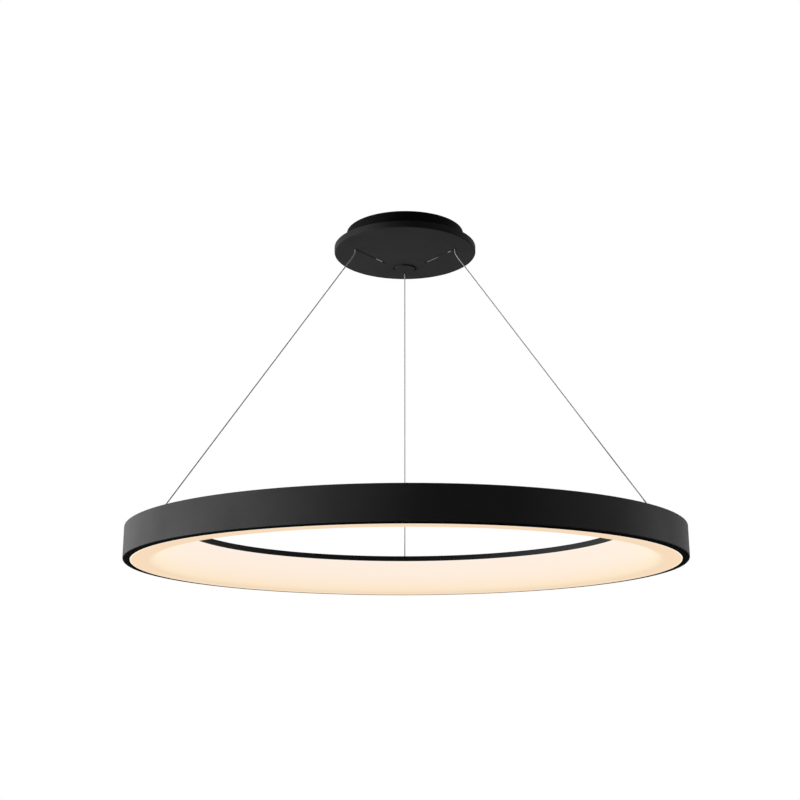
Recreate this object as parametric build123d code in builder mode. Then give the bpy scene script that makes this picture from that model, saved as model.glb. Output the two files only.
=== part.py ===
"""Ring pendant light with an opal diffuser, hung on three cables from a round ceiling canopy.

Millimetres, +Z up. The origin is the middle of the face that rests against the ceiling, and
everything hangs below it. Azimuth 270 is the front, so the third cable is at the back, at +Y.
"""

import os
from math import cos, pi, radians, sin, tan

from build123d import *

# Driving sizes of the ring
ring_r = 450.0
ring_h = 51.0
ring_inner_r = 360.0
ring_drop = 491.0
hoop_wall = 2.5
rim_w = 11.0
inner_wall = 2.0
inner_h = 9.0
inner_rise = 14.5
ledge_w = 6.5
ledge_t = 2.0
foot_w = 3.5
foot_t = 1.5
top_t = 2.0
top_bend_r = 402.0
edge_round = 0.8
lower_round = 2.5

# Driving sizes of the canopy
base_r = 101.5
base_h = 26.5
plate_r = 122.5
plate_h = 11.0
sheet = 1.5
plate_round = 2.5
chassis_r = 117.5
chassis_t = 2.0

# Cables and the places where they leave the canopy and reach the ring
cable_r = 0.9
cable_bend_r = 20.0
cable_lead = 8.0
tail_bend_r = 5.0
exit_x = 85.5
exit_y = -25.0
back_exit_y = 93.5
anchor_r = 414.0
anchor_bend_up = 6.5
anchor_start = 90.0
anchor_count = 3

# Release button and cable clamp
button_y = 65.5
button_r = 18.0
button_t = 1.8
button_proud = 1.5
button_gap = 2.7
button_flange_w = 4.2
button_flange_t = 1.5
button_round = 0.5
stem_x = 15.0
stem_r = 2.5
stem_gap = 0.4
clamp_x = 26.0
clamp_y = 14.0
clamp_h = 18.0
clamp_floor = 2.0
clamp_round = 3.0
cavity_x = 19.0
cavity_y = 10.0
cap_t = 2.0
channel_pitch = 8.0
channel_r = 1.2
jaw_x = 18.4
jaw_y = 8.0
jaw_t = 4.0
jaw_boss_r = 4.0
jaw_boss_h = 2.0
jaw_screw_grip = 6.0
spring_r = 5.0
spring_wire_r = 0.45
spring_half_turns = 9
spring_samples = 360
clamp_screw_x = 22.5

# Small hardware: metric screws, their heads and their clearances
m3_r = 1.5
m3_head_r = 2.75
m3_head_t = 2.0
sink_angle = 90.0
m4_r = 2.0
m4_head_r = 3.8
m4_head_t = 2.2
fit_gap = 0.1
loose_gap = 0.3

# Slits in the cover plate, from each front cable exit towards the button
slit_w = 2.5
slit_end_x = 35.5
slit_end_y = 38.0

# Cable guides in the canopy
guide_r = 3.0
guide_head_r = 5.5
guide_head_t = 1.6
guide_bore_r = 1.3
guide_flare = 2.9

# Ceiling fixing and the parts inside the canopy
ceiling_hole_x = 75.0
ceiling_hole_y = 20.0
ceiling_slot_w = 5.0
ceiling_slot_l = 12.0
entry_y = 14.0
entry_r = 8.0
grommet_bore_r = 5.0
grommet_lip = 1.5
chassis_screw_r = 111.0
chassis_screw_count = 4
chassis_screw_start = 45.0
tab_w = 10.0
tab_t = 5.0
tab_h = 7.0
tab_angles = (0.0, 90.0, 180.0)
plate_screw_l = 6.0
plate_screw_up = 5.0
driver_l = 124.0
driver_w = 40.0
driver_h = 17.5
driver_y = -36.0
driver_round = 2.0
driver_tab_l = 10.0
driver_tab_w = 14.0
terminal_l = 30.0
terminal_w = 18.0
terminal_h = 15.0
terminal_x = 32.0
terminal_y = 20.0
terminal_poles = 3
terminal_pitch = 9.0
terminal_screw_r = 2.2
terminal_screw_depth = 5.0
lead_r = 1.0
lead_bend_r = 5.0
lead_z = -13.0
mains_lead_x = 28.0
mains_lead_pitch = 8.0
mains_lead_step = 4.0
output_lead_x = -20.0
output_lead_pitch = 6.0
output_lead_step = 7.0
stop_r = 2.0
stop_l = 8.0
stop_gap = 0.5
earth_x = -48.0
earth_y = 26.0
earth_l = 11.0
earth_nut_r = 4.0
earth_nut_t = 3.2

# Diffuser: a flat lip at the rim, a soft bend, then a slope up to the inner hoop
diffuser_t = 2.2
diffuser_bend_r = 30.0
diffuser_slope = 62.0
diffuser_top_r = 366.0
diffuser_edge_gap = 0.6
diffuser_step_gap = 0.4

# Light source and the fixings inside the ring
board_r = 420.0
board_w = 18.0
board_t = 1.6
board_count = 6
board_start = 30.0
board_gap = 22.0
board_screw_count = 12
board_screw_start = 15.0
board_head_t = 1.8
board_screw_bite = 1.4
chip_count = 72
chip_size = 3.0
chip_t = 0.8
outer_screw_count = 12
inner_screw_count = 8
outer_screw_start = 15.0
inner_screw_start = 22.5
bush_flange_r = 7.0
bush_flange_t = 3.0
bush_r = 4.0
bush_l = 12.0
bush_bore_r = 1.4
bush_flare = 1.2
nut_r = 7.5
nut_t = 4.0
cable_stop_r = 2.6
cable_stop_l = 8.0
ring_lead_r = 0.8
ring_lead_drop = 6.0
ring_lead_bend_r = 4.0
ring_lead_in_r = 416.0
ring_lead_turn = 4.0
clip_count = 8
clip_start = 22.5
clip_w = 14.0
clip_t = 1.2
clip_h = 12.0
clip_reach = 7.0
clip_wall_gap = 0.2

# Levels, radii and places that follow from the sizes above
brim_z = -base_h
brim_r = plate_r - sheet - loose_gap
chassis_z = brim_z - sheet
plate_z = -(base_h + plate_h)
floor_z = plate_z + sheet
plate_screw_z = plate_z + plate_screw_up
ring_top_z = plate_z - ring_drop
ring_z = ring_top_z - ring_h
ledge_z = ring_top_z - top_t
inner_top_z = ring_top_z + inner_rise
inner_ledge_z = inner_top_z - top_t
foot_z = inner_top_z - inner_h
rim_top_z = ring_z + hoop_wall
wall_in_r = ring_r - hoop_wall
strip_out_r = ring_inner_r + inner_wall
outer_screw_r = wall_in_r - ledge_w / 2
inner_screw_r = strip_out_r + ledge_w / 2
flange_r = strip_out_r + ledge_w
sink_t = (m3_head_r - m3_r) / tan(radians(sink_angle / 2))
hang_down = (Align.CENTER, Align.CENTER, Align.MAX)
clamp_floor_z = chassis_z + clamp_floor
cable_z = clamp_floor_z + cable_r
cable_area = pi * cable_r**2
jaw_z = cable_z + cable_r
jaw_top_z = jaw_z + jaw_t
cap_z = chassis_z + clamp_h
spring_h = cap_z - jaw_top_z - 2 * spring_wire_r
spring_rise = spring_h / spring_half_turns
spring_bulge_r = (spring_r**2 + (spring_rise / 2) ** 2) ** 0.5
board_z = ledge_z - board_t
bush_top_z = ring_top_z + bush_flange_t
bush_end_z = ring_top_z - bush_l
cable_end_z = bush_end_z - cable_stop_l

# The diffuser's profile: lower and upper faces are parallel, one thickness apart
lip_z = foot_z + foot_t + fit_gap
step_r = ring_r - rim_w - diffuser_step_gap
slope_run = 1 / tan(radians(diffuser_slope))
lower_corner_r = diffuser_top_r + (lip_z - ring_z) * slope_run
upper_corner_r = lower_corner_r + diffuser_t * tan(radians(diffuser_slope / 2))
upper_top_r = upper_corner_r - (lip_z - ring_z) * slope_run

stem_points = [(-stem_x, button_y), (stem_x, button_y)]
clamp_screw_points = [(-clamp_screw_x, button_y), (clamp_screw_x, button_y)]
driver_screw_x = (driver_l + driver_tab_l) / 2
driver_screw_points = [(-driver_screw_x, driver_y), (driver_screw_x, driver_y)]

# Where each cable leaves the canopy, and the azimuth at which it reaches the ring
exits = {"left": (-exit_x, exit_y), "right": (exit_x, exit_y), "back": (0.0, back_exit_y)}
anchor_step = 360.0 / anchor_count
anchor_angles = {
    "left": anchor_start + anchor_step,
    "right": anchor_start - anchor_step,
    "back": anchor_start,
}


def polar(radius, angle):
    """Point at this radius and azimuth, seen from above."""
    return radius * cos(radians(angle)), radius * sin(radians(angle))


# Outer faces of the tabs that the cover plate is screwed to
tab_in_r = brim_r - tab_t
tab_planes = []
for tab_angle in tab_angles:
    out_x, out_y = polar(1, tab_angle)
    tab_origin = (tab_in_r * out_x, tab_in_r * out_y, chassis_z)
    tab_planes.append(Plane(origin=tab_origin, x_dir=(-out_y, out_x, 0), z_dir=(out_x, out_y, 0)))

# Routes of the cables, as straight runs that are joined by bends
cable_routes = {}
for name, (out_x, out_y) in exits.items():
    end_x, end_y = polar(anchor_r, anchor_angles[name])
    cable_routes[name] = [
        (out_x, out_y, plate_z),
        (out_x, out_y, plate_z - cable_lead),
        (end_x, end_y, bush_top_z + anchor_bend_up),
        (end_x, end_y, cable_end_z),
    ]

# Inside the canopy the front cables run to the back of the clamp and the back cable to its front
tail_entry_y = button_y - clamp_y - tail_bend_r
front_tail_y = button_y + clamp_y + stop_gap + stop_l
back_tail_y = button_y - clamp_y - stop_gap - stop_l
tail_routes = {}
for name, side in (("left", -1), ("right", 1)):
    tail_routes[name] = [
        (*exits[name], plate_z),
        (*exits[name], cable_z),
        (side * channel_pitch, tail_entry_y, cable_z),
        (side * channel_pitch, front_tail_y, cable_z),
    ]
tail_routes["back"] = [
    (*exits["back"], plate_z),
    (*exits["back"], cable_z),
    (0.0, back_tail_y, cable_z),
]

# Routes of the leads inside the canopy and the ring
driver_face_y = driver_y + driver_w / 2
clamp_face_y = button_y - clamp_y
terminal_face_y = terminal_y - terminal_w / 2
lead_routes = {"mains_leads": [], "output_leads": []}
for pair in (0, 1):
    mains_x = mains_lead_x + pair * mains_lead_pitch
    mains_turn = (terminal_face_y - driver_face_y) / 3
    lead_routes["mains_leads"].append(
        [
            (mains_x, driver_face_y, lead_z),
            (mains_x, driver_face_y + mains_turn, lead_z),
            (mains_x + mains_lead_step, terminal_face_y - mains_turn, lead_z),
            (mains_x + mains_lead_step, terminal_face_y, lead_z),
        ]
    )
    output_x = output_lead_x + pair * output_lead_pitch
    output_turn = (clamp_face_y - driver_face_y) / 3
    lead_routes["output_leads"].append(
        [
            (output_x, driver_face_y, lead_z),
            (output_x, driver_face_y + output_turn, lead_z),
            (output_x + output_lead_step, clamp_face_y - output_turn, lead_z),
            (output_x + output_lead_step, clamp_face_y, lead_z),
        ]
    )
ring_lead_routes = []
for name in ("left", "right"):
    lead_from = polar(anchor_r, anchor_angles[name])
    lead_to = polar(ring_lead_in_r, anchor_angles[name] + ring_lead_turn)
    ring_lead_routes.append(
        [
            (*lead_from, cable_end_z),
            (*lead_from, cable_end_z - ring_lead_drop),
            (*lead_to, cable_end_z - ring_lead_drop),
            (*lead_to, board_z),
        ]
    )

os.makedirs("parts", exist_ok=True)

# Upper tier of the canopy: a pressed cup with a brim that closes the lower tier from above
with BuildPart() as canopy_base:
    with BuildSketch(Plane.XZ):
        with BuildLine():
            Polyline(
                (0, 0),
                (base_r, 0),
                (base_r, brim_z),
                (brim_r, brim_z),
                (brim_r, chassis_z),
                (base_r - sheet, chassis_z),
                (base_r - sheet, -sheet),
                (0, -sheet),
                close=True,
            )
        make_face()
    revolve(axis=Axis.Z)
    with BuildSketch(Plane.XY):
        with Locations((-ceiling_hole_x, ceiling_hole_y), (ceiling_hole_x, ceiling_hole_y)):
            SlotOverall(ceiling_slot_l, ceiling_slot_w)
        with Locations((0, entry_y)):
            Circle(entry_r)
        with Locations(*driver_screw_points):
            Circle(m3_r + fit_gap)
    extrude(amount=-sheet, mode=Mode.SUBTRACT)
    with BuildSketch(Plane.XY.offset(brim_z)):
        with PolarLocations(chassis_screw_r, chassis_screw_count, start_angle=chassis_screw_start):
            Circle(m4_r + fit_gap)
    extrude(amount=-sheet, mode=Mode.SUBTRACT)
canopy_base.part.label = "canopy_base"
export_step(canopy_base.part, "parts/canopy_base.step")

# Rubber grommet where the house wiring comes in
with BuildPart() as entry_grommet:
    with BuildSketch(Plane.XY.offset(-sheet)):
        with Locations((0, entry_y)):
            Circle(entry_r - fit_gap)
            Circle(grommet_bore_r, mode=Mode.SUBTRACT)
    extrude(amount=sheet)
    with BuildSketch(Plane.XY.offset(-sheet)):
        with Locations((0, entry_y)):
            Circle(entry_r + grommet_lip)
            Circle(grommet_bore_r, mode=Mode.SUBTRACT)
    extrude(amount=-grommet_lip)
entry_grommet.part.label = "entry_grommet"
export_step(entry_grommet.part, "parts/entry_grommet.step")

# Steel plate that carries the load of the cables, with three bent tabs for the cover plate
with BuildPart() as chassis_plate:
    with BuildSketch(Plane.XY.offset(chassis_z)):
        Circle(chassis_r)
        with PolarLocations(chassis_screw_r, chassis_screw_count, start_angle=chassis_screw_start):
            Circle(m4_r + fit_gap, mode=Mode.SUBTRACT)
        with Locations(*exits.values()):
            Circle(guide_r + fit_gap, mode=Mode.SUBTRACT)
        with Locations(*stem_points):
            Circle(stem_r + stem_gap, mode=Mode.SUBTRACT)
        with Locations(*clamp_screw_points):
            Circle(m3_r + fit_gap, mode=Mode.SUBTRACT)
    extrude(amount=-chassis_t)
    for tab_plane in tab_planes:
        with BuildSketch(tab_plane):
            Rectangle(tab_w, tab_h, align=(Align.CENTER, Align.MAX))
        extrude(amount=tab_t)
        with BuildSketch(tab_plane):
            with Locations((0, plate_screw_z - chassis_z)):
                Circle(m3_r + fit_gap)
        extrude(amount=tab_t, mode=Mode.SUBTRACT)
chassis_plate.part.label = "chassis_plate"
export_step(chassis_plate.part, "parts/chassis_plate.step")

# Four screws that hold the chassis plate under the brim
with BuildPart() as chassis_screws:
    with BuildSketch(Plane.XY.offset(brim_z)):
        with PolarLocations(chassis_screw_r, chassis_screw_count, start_angle=chassis_screw_start):
            Circle(m4_r)
    extrude(amount=-(sheet + chassis_t))
    with BuildSketch(Plane.XY.offset(chassis_z - chassis_t)):
        with PolarLocations(chassis_screw_r, chassis_screw_count, start_angle=chassis_screw_start):
            Circle(m4_head_r)
    extrude(amount=-m4_head_t)
chassis_screws.part.label = "chassis_screws"
export_step(chassis_screws.part, "parts/chassis_screws.step")

# Lower tier: a shallow pan with the cable exits, the threading slits and the hole for the button
with BuildPart() as cover_plate:
    with BuildSketch(Plane.XZ):
        with BuildLine():
            Polyline(
                (0, plate_z),
                (plate_r, plate_z),
                (plate_r, brim_z),
                (plate_r - sheet, brim_z),
                (plate_r - sheet, floor_z),
                (0, floor_z),
                close=True,
            )
        make_face()
    revolve(axis=Axis.Z)
    fillet(cover_plate.edges().filter_by(GeomType.CIRCLE).group_by(Axis.Z)[0], plate_round)
    with BuildSketch(Plane.XY.offset(floor_z)):
        with Locations(*exits.values()):
            Circle(guide_r + loose_gap)
        with Locations((0, button_y)):
            Circle(button_r + button_gap)
        for side in (-1, 1):
            slit_middle = (side * (exit_x + slit_end_x) / 2, (exit_y + slit_end_y) / 2)
            SlotCenterPoint(slit_middle, (side * slit_end_x, slit_end_y), slit_w)
    extrude(amount=-sheet, mode=Mode.SUBTRACT)
    for tab_plane in tab_planes:
        with BuildSketch(tab_plane):
            with Locations((0, plate_screw_z - chassis_z)):
                Circle(m3_r + loose_gap)
        extrude(amount=plate_r - tab_in_r, mode=Mode.SUBTRACT)
cover_plate.part.label = "cover_plate"
export_step(cover_plate.part, "parts/cover_plate.step")

# Three headless screws through the wall of the pan into the tabs
with BuildPart() as plate_screws:
    for tab_plane in tab_planes:
        with BuildSketch(tab_plane.offset(plate_r - tab_in_r - loose_gap)):
            with Locations((0, plate_screw_z - chassis_z)):
                Circle(m3_r)
        extrude(amount=-plate_screw_l)
plate_screws.part.label = "plate_screws"
export_step(plate_screws.part, "parts/plate_screws.step")

# Headed guides with a flared mouth, one for each cable, that hang in the chassis plate
with BuildPart() as cable_guides:
    with BuildSketch(Plane.XY.offset(plate_z)):
        with Locations(*exits.values()):
            Circle(guide_r)
    extrude(amount=chassis_z - plate_z)
    with BuildSketch(Plane.XY.offset(chassis_z)):
        with Locations(*exits.values()):
            Circle(guide_head_r)
    extrude(amount=guide_head_t)
    with BuildSketch(Plane.XY.offset(plate_z)):
        with Locations(*exits.values()):
            Circle(guide_bore_r)
    extrude(amount=chassis_z - plate_z + guide_head_t, mode=Mode.SUBTRACT)
    guide_mouths = cable_guides.edges().filter_by(GeomType.CIRCLE).group_by(Axis.Z)[-1]
    fillet(guide_mouths.group_by(SortBy.RADIUS)[0], guide_flare)
cable_guides.part.label = "cable_guides"
export_step(cable_guides.part, "parts/cable_guides.step")

# The ends of the cables inside the canopy, from the guides through the clamp
for name, route in tail_routes.items():
    with BuildPart() as tail:
        with BuildLine() as tail_path:
            FilletPolyline(*route, radius=tail_bend_r)
        with BuildSketch(Plane(origin=tail_path.line @ 0, z_dir=tail_path.line % 0)):
            Circle(cable_r)
        sweep()
    tail.part.label = f"{name}_tail"
    export_step(tail.part, f"parts/{name}_tail.step")
    tail_l = tail_path.wire().length
    print(f"{name}_tail", "length", round(tail_l, 2), "bend radius", tail_bend_r)
    print("  volume", round(tail.part.volume, 2), "section by length", round(cable_area * tail_l, 2))

# Crimped sleeves on the ends, which stop against the clamp when the cables are fully out
with BuildPart() as tail_stops:
    for route in tail_routes.values():
        stop_from = Vector(*route[-1])
        stop_along = (Vector(*route[-2]) - stop_from).normalized()
        with BuildSketch(Plane(origin=stop_from, z_dir=stop_along)):
            Circle(stop_r)
            Circle(cable_r, mode=Mode.SUBTRACT)
        extrude(amount=stop_l)
tail_stops.part.label = "tail_stops"
export_step(tail_stops.part, "parts/tail_stops.step")

# Clamp housing: a block with a cavity for the jaw and three channels for the cables
with BuildPart() as clamp_body:
    with BuildSketch(Plane.XY.offset(chassis_z)):
        with Locations((0, button_y)):
            RectangleRounded(2 * clamp_x, 2 * clamp_y, clamp_round)
    extrude(amount=clamp_h)
    with BuildSketch(Plane.XY.offset(clamp_floor_z)):
        with Locations((0, button_y)):
            Rectangle(2 * cavity_x, 2 * cavity_y)
    extrude(amount=clamp_h, mode=Mode.SUBTRACT)
    with BuildSketch(Plane.XY.offset(chassis_z)):
        with Locations(*stem_points):
            Circle(stem_r + stem_gap)
        with Locations(*clamp_screw_points):
            Circle(m3_r + fit_gap)
    extrude(amount=clamp_h, mode=Mode.SUBTRACT)
    with BuildSketch(Plane.XZ.offset(-button_y - clamp_y)):
        for channel in (-1, 0, 1):
            with Locations((channel * channel_pitch, cable_z)):
                Circle(channel_r)
    extrude(amount=2 * clamp_y, mode=Mode.SUBTRACT)
clamp_body.part.label = "clamp_body"
export_step(clamp_body.part, "parts/clamp_body.step")

# Cap over the clamp housing, which the spring bears on
with BuildPart() as clamp_cap:
    with BuildSketch(Plane.XY.offset(cap_z)):
        with Locations((0, button_y)):
            RectangleRounded(2 * clamp_x, 2 * clamp_y, clamp_round)
        with Locations(*clamp_screw_points):
            Circle(m3_r + fit_gap, mode=Mode.SUBTRACT)
    extrude(amount=cap_t)
clamp_cap.part.label = "clamp_cap"
export_step(clamp_cap.part, "parts/clamp_cap.step")

# Two long screws through the cap and the housing into the chassis plate
with BuildPart() as clamp_screws:
    with BuildSketch(Plane.XY.offset(chassis_z - chassis_t)):
        with Locations(*clamp_screw_points):
            Circle(m3_r)
    extrude(amount=chassis_t + clamp_h + cap_t)
    with BuildSketch(Plane.XY.offset(cap_z + cap_t)):
        with Locations(*clamp_screw_points):
            Circle(m3_head_r)
    extrude(amount=m3_head_t)
clamp_screws.part.label = "clamp_screws"
export_step(clamp_screws.part, "parts/clamp_screws.step")

# Release button: a disc a little proud of the plate, with a hidden flange and two stems that lift the jaw
with BuildPart() as release_button:
    with BuildSketch(Plane.XY.offset(plate_z - button_proud)):
        with Locations((0, button_y)):
            Circle(button_r)
    extrude(amount=button_t + button_proud)
    fillet(release_button.edges().group_by(Axis.Z)[0], button_round)
    with BuildSketch(Plane.XY.offset(plate_z + button_t)):
        with Locations((0, button_y)):
            Circle(button_r + button_flange_w)
    extrude(amount=button_flange_t)
    with BuildSketch(Plane.XY.offset(plate_z + button_t + button_flange_t)):
        with Locations(*stem_points):
            Circle(stem_r)
    extrude(amount=jaw_z - plate_z - button_t - button_flange_t)
    with BuildSketch(Plane.XY.offset(jaw_z)):
        with Locations(*stem_points):
            Circle(m3_r + fit_gap)
    extrude(amount=-jaw_screw_grip, mode=Mode.SUBTRACT)
release_button.part.label = "release_button"
export_step(release_button.part, "parts/release_button.step")

# Jaw bar that presses the three cables onto the floor of the clamp
with BuildPart() as clamp_jaw:
    with BuildSketch(Plane.XY.offset(jaw_z)):
        with Locations((0, button_y)):
            Rectangle(2 * jaw_x, 2 * jaw_y)
        with Locations(*stem_points):
            Circle(m3_r + fit_gap, mode=Mode.SUBTRACT)
    extrude(amount=jaw_t)
    with BuildSketch(Plane.XY.offset(jaw_top_z)):
        with Locations((0, button_y)):
            Circle(jaw_boss_r)
    extrude(amount=jaw_boss_h)
clamp_jaw.part.label = "clamp_jaw"
export_step(clamp_jaw.part, "parts/clamp_jaw.step")

# Two screws that tie the jaw to the stems of the button
with BuildPart() as jaw_screws:
    with BuildSketch(Plane.XY.offset(jaw_z - jaw_screw_grip)):
        with Locations(*stem_points):
            Circle(m3_r)
    extrude(amount=jaw_screw_grip + jaw_t)
    with BuildSketch(Plane.XY.offset(jaw_top_z)):
        with Locations(*stem_points):
            Circle(m3_head_r)
    extrude(amount=m3_head_t)
jaw_screws.part.label = "jaw_screws"
export_step(jaw_screws.part, "parts/jaw_screws.step")

# Spring between the jaw and the cap, wound in half turns, which closes the clamp and returns the button
with BuildPart() as clamp_spring:
    with BuildLine() as spring_path:
        for turn in range(spring_half_turns):
            side = 1 - 2 * (turn % 2)
            low_z = jaw_top_z + spring_wire_r + turn * spring_rise
            ThreePointArc(
                (side * spring_r, button_y, low_z),
                (0, button_y + side * spring_bulge_r, low_z + spring_rise / 2),
                (-side * spring_r, button_y, low_z + spring_rise),
            )
    with BuildSketch(Plane(origin=spring_path.line @ 0, z_dir=spring_path.line % 0)):
        Circle(spring_wire_r)
    sweep()
clamp_spring.part.label = "clamp_spring"
export_step(clamp_spring.part, "parts/clamp_spring.step")
spring_wire = spring_path.wire()
spring_points = [spring_wire @ (i / spring_samples) for i in range(spring_samples + 1)]
half_turn = spring_samples // spring_half_turns
spring_gaps = []
for i, here in enumerate(spring_points):
    spring_gaps += [(there - here).length - 2 * spring_wire_r for there in spring_points[i + half_turn :]]
print("clamp_spring wire length", round(spring_wire.length, 2), "least gap", round(min(spring_gaps), 2))

# Driver that turns the mains into the low voltage for the light source
with BuildPart() as driver_case:
    with BuildSketch(Plane.XY.offset(-sheet)):
        with Locations((0, driver_y)):
            RectangleRounded(driver_l, driver_w, driver_round)
    extrude(amount=-driver_h)
    fillet(driver_case.edges().group_by(Axis.Z)[0], driver_round / 2)
    with BuildSketch(Plane.XY.offset(-sheet)):
        with Locations(*driver_screw_points):
            Rectangle(driver_tab_l, driver_tab_w)
            Circle(m3_r + fit_gap, mode=Mode.SUBTRACT)
    extrude(amount=-sheet)
driver_case.part.label = "driver_case"
export_step(driver_case.part, "parts/driver_case.step")

# Two screws that hold the driver to the top of the canopy
with BuildPart() as driver_screws:
    with BuildSketch(Plane.XY.offset(-loose_gap)):
        with Locations(*driver_screw_points):
            Circle(m3_r)
    extrude(amount=loose_gap - 2 * sheet)
    with BuildSketch(Plane.XY.offset(-2 * sheet)):
        with Locations(*driver_screw_points):
            Circle(m3_head_r)
    extrude(amount=-m3_head_t)
driver_screws.part.label = "driver_screws"
export_step(driver_screws.part, "parts/driver_screws.step")

# Terminal block for the house wiring, with its screw wells
with BuildPart() as terminal_block:
    with BuildSketch(Plane.XY.offset(-sheet)):
        with Locations((terminal_x, terminal_y)):
            Rectangle(terminal_l, terminal_w)
    extrude(amount=-terminal_h)
    with BuildSketch(Plane.XY.offset(-sheet - terminal_h)):
        with Locations((terminal_x, terminal_y)):
            with GridLocations(terminal_pitch, 0, terminal_poles, 1):
                Circle(terminal_screw_r)
    extrude(amount=terminal_screw_depth, mode=Mode.SUBTRACT)
terminal_block.part.label = "terminal_block"
export_step(terminal_block.part, "parts/terminal_block.step")

# Earth stud with its nut
with BuildPart() as earth_stud:
    with BuildSketch(Plane.XY.offset(-sheet)):
        with Locations((earth_x, earth_y)):
            Circle(m4_r)
    extrude(amount=-earth_l)
    with BuildSketch(Plane.XY.offset(-sheet)):
        with Locations((earth_x, earth_y)):
            RegularPolygon(earth_nut_r, side_count=6)
    extrude(amount=-earth_nut_t)
earth_stud.part.label = "earth_stud"
export_step(earth_stud.part, "parts/earth_stud.step")

# Leads inside the canopy: terminal block to driver, and driver to clamp
for name, routes in lead_routes.items():
    with BuildPart() as leads:
        for route in routes:
            with BuildLine() as lead_path:
                FilletPolyline(*route, radius=lead_bend_r)
            with BuildSketch(Plane(origin=lead_path.line @ 0, z_dir=lead_path.line % 0)):
                Circle(lead_r)
            sweep(path=lead_path.wire())
    leads.part.label = name
    export_step(leads.part, f"parts/{name}.step")

# The three cables between the canopy and the ring
for name, route in cable_routes.items():
    with BuildPart() as cable:
        with BuildLine() as cable_path:
            FilletPolyline(*route, radius=cable_bend_r)
        with BuildSketch(Plane(origin=cable_path.line @ 0, z_dir=cable_path.line % 0)):
            Circle(cable_r)
        sweep()
    cable.part.label = f"{name}_cable"
    export_step(cable.part, f"parts/{name}_cable.step")
    cable_l = cable_path.wire().length
    print(f"{name}_cable", "length", round(cable_l, 2), "bend radius", cable_bend_r)
    print("  volume", round(cable.part.volume, 2), "section by length", round(cable_area * cable_l, 2))

# Outer wall of the ring: a rolled section with a turned-in rim below and a ledge for the top plate
with BuildPart() as outer_hoop:
    with BuildSketch(Plane.XZ):
        with BuildLine():
            Polyline(
                (ring_r, ring_z),
                (ring_r, ring_top_z),
                (wall_in_r, ring_top_z),
                (wall_in_r, ledge_z),
                (wall_in_r - ledge_w, ledge_z),
                (wall_in_r - ledge_w, ledge_z - ledge_t),
                (wall_in_r, ledge_z - ledge_t),
                (wall_in_r, rim_top_z),
                (ring_r - rim_w, rim_top_z),
                (ring_r - rim_w, ring_z),
                close=True,
            )
        make_face()
    revolve(axis=Axis.Z)
    outer_edges = outer_hoop.edges().filter_by(GeomType.CIRCLE).sort_by(SortBy.RADIUS)[-2:].sort_by(Axis.Z)
    fillet(outer_edges[1], edge_round)
    lowest_edges = outer_hoop.edges().filter_by(GeomType.CIRCLE).group_by(Axis.Z)[0]
    fillet(lowest_edges.sort_by(SortBy.RADIUS)[-1], lower_round)
    with BuildSketch(Plane.XY.offset(ledge_z)):
        with PolarLocations(outer_screw_r, outer_screw_count, start_angle=outer_screw_start):
            Circle(m3_r + fit_gap)
    extrude(amount=-ledge_t, mode=Mode.SUBTRACT)
outer_hoop.part.label = "outer_hoop"
export_step(outer_hoop.part, "parts/outer_hoop.step")

# Inner strip of the ring: a foot and a ledge form the channel for the edge of the diffuser
with BuildPart() as inner_hoop:
    with BuildSketch(Plane.XZ):
        with BuildLine():
            Polyline(
                (ring_inner_r, foot_z),
                (strip_out_r + foot_w, foot_z),
                (strip_out_r + foot_w, foot_z + foot_t),
                (strip_out_r, foot_z + foot_t),
                (strip_out_r, inner_ledge_z - ledge_t),
                (flange_r, inner_ledge_z - ledge_t),
                (flange_r, inner_ledge_z),
                (strip_out_r, inner_ledge_z),
                (strip_out_r, inner_top_z),
                (ring_inner_r, inner_top_z),
                close=True,
            )
        make_face()
    revolve(axis=Axis.Z)
    with BuildSketch(Plane.XY.offset(inner_ledge_z)):
        with PolarLocations(inner_screw_r, inner_screw_count, start_angle=inner_screw_start):
            Circle(m3_r + fit_gap)
    extrude(amount=-ledge_t, mode=Mode.SUBTRACT)
inner_hoop.part.label = "inner_hoop"
export_step(inner_hoop.part, "parts/inner_hoop.step")

# Spun top of the ring: flat at the wall, then rising to the inner strip, screwed down on both ledges
with BuildPart() as top_plate:
    with BuildSketch(Plane.XZ):
        with BuildLine():
            Polyline(
                (wall_in_r - loose_gap, ledge_z),
                (wall_in_r - loose_gap, ring_top_z),
                (top_bend_r, ring_top_z),
                (flange_r, inner_top_z),
                (strip_out_r + loose_gap, inner_top_z),
                (strip_out_r + loose_gap, inner_ledge_z),
                (flange_r, inner_ledge_z),
                (top_bend_r, ledge_z),
                close=True,
            )
        make_face()
    revolve(axis=Axis.Z)
    with BuildSketch(Plane.XY.offset(ledge_z)):
        with PolarLocations(anchor_r, anchor_count, start_angle=anchor_start):
            Circle(bush_r + fit_gap)
    extrude(amount=top_t, mode=Mode.SUBTRACT)
    with BuildSketch(Plane.XY.offset(ledge_z)):
        with PolarLocations(board_r, board_screw_count, start_angle=board_screw_start):
            Circle(m3_r + fit_gap)
    extrude(amount=board_screw_bite, mode=Mode.SUBTRACT)
    with Locations((0, 0, ring_top_z)):
        with PolarLocations(outer_screw_r, outer_screw_count, start_angle=outer_screw_start):
            CounterSinkHole(m3_r + fit_gap, m3_head_r + fit_gap, depth=top_t, counter_sink_angle=sink_angle)
    with Locations((0, 0, inner_top_z)):
        with PolarLocations(inner_screw_r, inner_screw_count, start_angle=inner_screw_start):
            CounterSinkHole(m3_r + fit_gap, m3_head_r + fit_gap, depth=top_t, counter_sink_angle=sink_angle)
top_plate.part.label = "top_plate"
export_step(top_plate.part, "parts/top_plate.step")

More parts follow.
